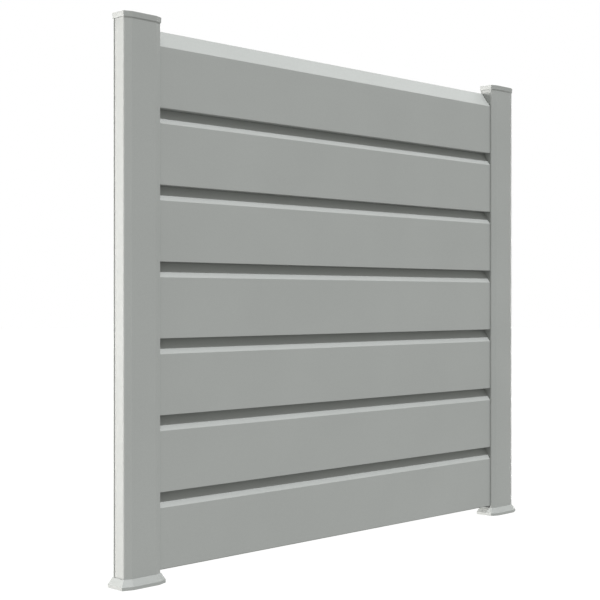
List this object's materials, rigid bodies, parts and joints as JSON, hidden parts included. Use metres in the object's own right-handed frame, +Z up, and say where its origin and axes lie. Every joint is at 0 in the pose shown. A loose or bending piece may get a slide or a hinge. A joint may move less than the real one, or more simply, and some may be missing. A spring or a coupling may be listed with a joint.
{
  "type": "garden privacy screen",
  "caption": "Straight free-standing garden privacy screen: wide hollow boards stacked with narrow shadow gaps between capped, gently bulged posts on bolted base plates.",
  "frame": {"origin": "on the ground, midway between the posts and midway through their depth", "axes": "+X along the screen, from the left post to the right post; -Y out of the front, where the slopes between the boards show; +Z up"},
  "size_m": [2.113, 0.1032, 1.831],
  "materials": {
    "powder_coated_aluminium": "matte",
    "moulded_trim": "matte",
    "black_plastic": "matte",
    "galvanised_steel": "satin",
    "zinc_plated_screw": "satin"
  },
  "bodies": {
    "root": {"post_left": "powder_coated_aluminium", "post_right": "powder_coated_aluminium", "cover_strip_left": "powder_coated_aluminium", "cover_strip_right": "powder_coated_aluminium", "filler_strip_left": "powder_coated_aluminium", "filler_strip_right": "powder_coated_aluminium", "board_1": "powder_coated_aluminium", "board_2": "powder_coated_aluminium", "board_3": "powder_coated_aluminium", "board_4": "powder_coated_aluminium", "board_5": "powder_coated_aluminium", "board_6": "powder_coated_aluminium", "board_7": "powder_coated_aluminium", "bottom_closing_strip": "powder_coated_aluminium", "post_cap_left": "moulded_trim", "post_cap_right": "moulded_trim", "base_skirt_left": "moulded_trim", "base_skirt_right": "moulded_trim", "gap_filler_left_1": "moulded_trim", "gap_filler_left_2": "moulded_trim", "gap_filler_left_3": "moulded_trim", "gap_filler_left_4": "moulded_trim", "gap_filler_left_5": "moulded_trim", "gap_filler_left_6": "moulded_trim", "gap_filler_right_1": "moulded_trim", "gap_filler_right_2": "moulded_trim", "gap_filler_right_3": "moulded_trim", "gap_filler_right_4": "moulded_trim", "gap_filler_right_5": "moulded_trim", "gap_filler_right_6": "moulded_trim", "support_block_left": "black_plastic", "support_block_right": "black_plastic", "base_plate_left": "galvanised_steel", "base_plate_right": "galvanised_steel", "spigot_tube_left": "galvanised_steel", "spigot_tube_right": "galvanised_steel", "fixing_screw_left_1": "zinc_plated_screw", "fixing_screw_left_2": "zinc_plated_screw", "fixing_screw_right_1": "zinc_plated_screw", "fixing_screw_right_2": "zinc_plated_screw"}
  },
  "joints": []
}
